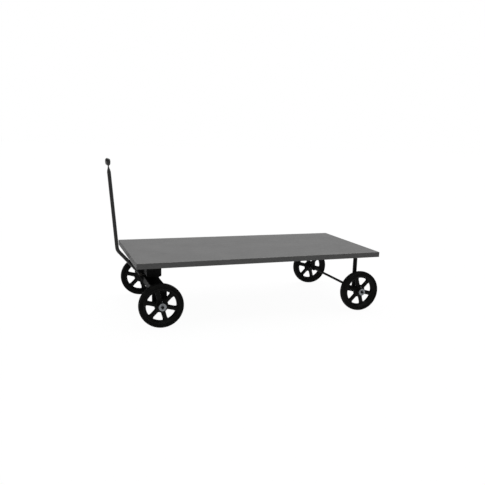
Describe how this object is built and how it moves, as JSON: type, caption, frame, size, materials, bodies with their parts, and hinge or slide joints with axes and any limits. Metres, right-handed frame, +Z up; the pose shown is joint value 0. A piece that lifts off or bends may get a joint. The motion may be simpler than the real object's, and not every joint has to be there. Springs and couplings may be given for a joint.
{
  "type": "flatbed platform truck",
  "caption": "Long steel flatbed truck on large spoked wheels, with a turntable-steered front axle and an upright pull handle that folds down.",
  "frame": {"origin": "on the floor, under the centre of the truck's overall length (handle included) and width", "axes": "+X from the handle end to the rear end, +Y towards the right-hand wheels seen from behind the handle, +Z up"},
  "size_m": [1.9528, 1.013, 1.0995],
  "materials": {
    "grey_paint": "satin grey enamel on sheet steel",
    "black_paint": "semi-gloss black enamel",
    "black_casting": "black enamel on rough cast iron",
    "tyre": "moulded-on black rubber",
    "black_plastic": "black vinyl cap",
    "bearing_steel": "ground bearing steel",
    "zinc_steel": "bright zinc plate",
    "spring_steel": "dark oiled spring steel",
    "plain_steel": "plain turned steel, darkened"
  },
  "bodies": {
    "platform": {"deck_channels": "grey_paint", "deck_pan": "grey_paint", "kingpin": "plain_steel", "kingpin_cotter": "zinc_steel", "kingpin_nut": "zinc_steel", "kingpin_washer": "zinc_steel", "left_rear_leg": "black_paint", "rear_axle": "black_paint", "rear_axle_cotters": "zinc_steel", "rear_axle_spacers": "plain_steel", "rear_hub_washers": "zinc_steel", "rear_leg_bolts": "zinc_steel", "right_rear_leg": "black_paint", "upper_bolster": "black_paint", "upper_bolster_ends": "black_paint", "upper_race": "black_paint"},
    "front_truck": {"front_axle": "black_paint", "front_axle_cotters": "zinc_steel", "front_axle_spacers": "plain_steel", "front_hub_washers": "zinc_steel", "hinge_cotter": "zinc_steel", "hinge_pin": "plain_steel", "hinge_washer": "plain_steel", "left_front_leg": "black_paint", "lower_bolster": "black_paint", "lower_race": "black_paint", "return_springs": "spring_steel", "right_front_leg": "black_paint", "thrust_balls": "bearing_steel", "tongue_ears": "black_paint"},
    "tongue": {"grip": "black_plastic", "grip_bar": "plain_steel", "tongue_eye": "black_paint", "tongue_shaft": "grey_paint"},
    "left_front_wheel": {"left_front_bearing_cage": "zinc_steel", "left_front_bearing_rollers": "bearing_steel", "left_front_grease_fitting": "zinc_steel", "left_front_tyre": "tyre", "left_front_wheel_centre": "black_casting"},
    "right_front_wheel": {"right_front_bearing_cage": "zinc_steel", "right_front_bearing_rollers": "bearing_steel", "right_front_grease_fitting": "zinc_steel", "right_front_tyre": "tyre", "right_front_wheel_centre": "black_casting"},
    "left_rear_wheel": {"left_rear_bearing_cage": "zinc_steel", "left_rear_bearing_rollers": "bearing_steel", "left_rear_grease_fitting": "zinc_steel", "left_rear_tyre": "tyre", "left_rear_wheel_centre": "black_casting"},
    "right_rear_wheel": {"right_rear_bearing_cage": "zinc_steel", "right_rear_bearing_rollers": "bearing_steel", "right_rear_grease_fitting": "zinc_steel", "right_rear_tyre": "tyre", "right_rear_wheel_centre": "black_casting"}
  },
  "joints": [
    {"name": "steer", "type": "hinge", "parent": "platform", "child": "front_truck", "pos_m": [-0.6924, 0, 0.28], "axis": [0, 0, 1], "range_deg": [-14, 14]},
    {"name": "tongue_lower", "type": "hinge", "parent": "front_truck", "child": "tongue", "pos_m": [-0.7614, 0, 0.279], "axis": [0, -1, 0], "range_deg": [0, 90], "stiffness_Nm_per_rad": 4.5, "springref_deg": -42.97, "deforming": ["return_springs"]},
    {"name": "left_front_spin", "type": "hinge", "parent": "front_truck", "child": "left_front_wheel", "pos_m": [-0.6924, 0, 0.1524], "axis": [0, 1, 0], "continuous": true},
    {"name": "right_front_spin", "type": "hinge", "parent": "front_truck", "child": "right_front_wheel", "pos_m": [-0.6924, 0, 0.1524], "axis": [0, 1, 0], "continuous": true},
    {"name": "left_rear_spin", "type": "hinge", "parent": "platform", "child": "left_rear_wheel", "pos_m": [0.8216, 0, 0.1524], "axis": [0, 1, 0], "continuous": true},
    {"name": "right_rear_spin", "type": "hinge", "parent": "platform", "child": "right_rear_wheel", "pos_m": [0.8216, 0, 0.1524], "axis": [0, 1, 0], "continuous": true}
  ]
}
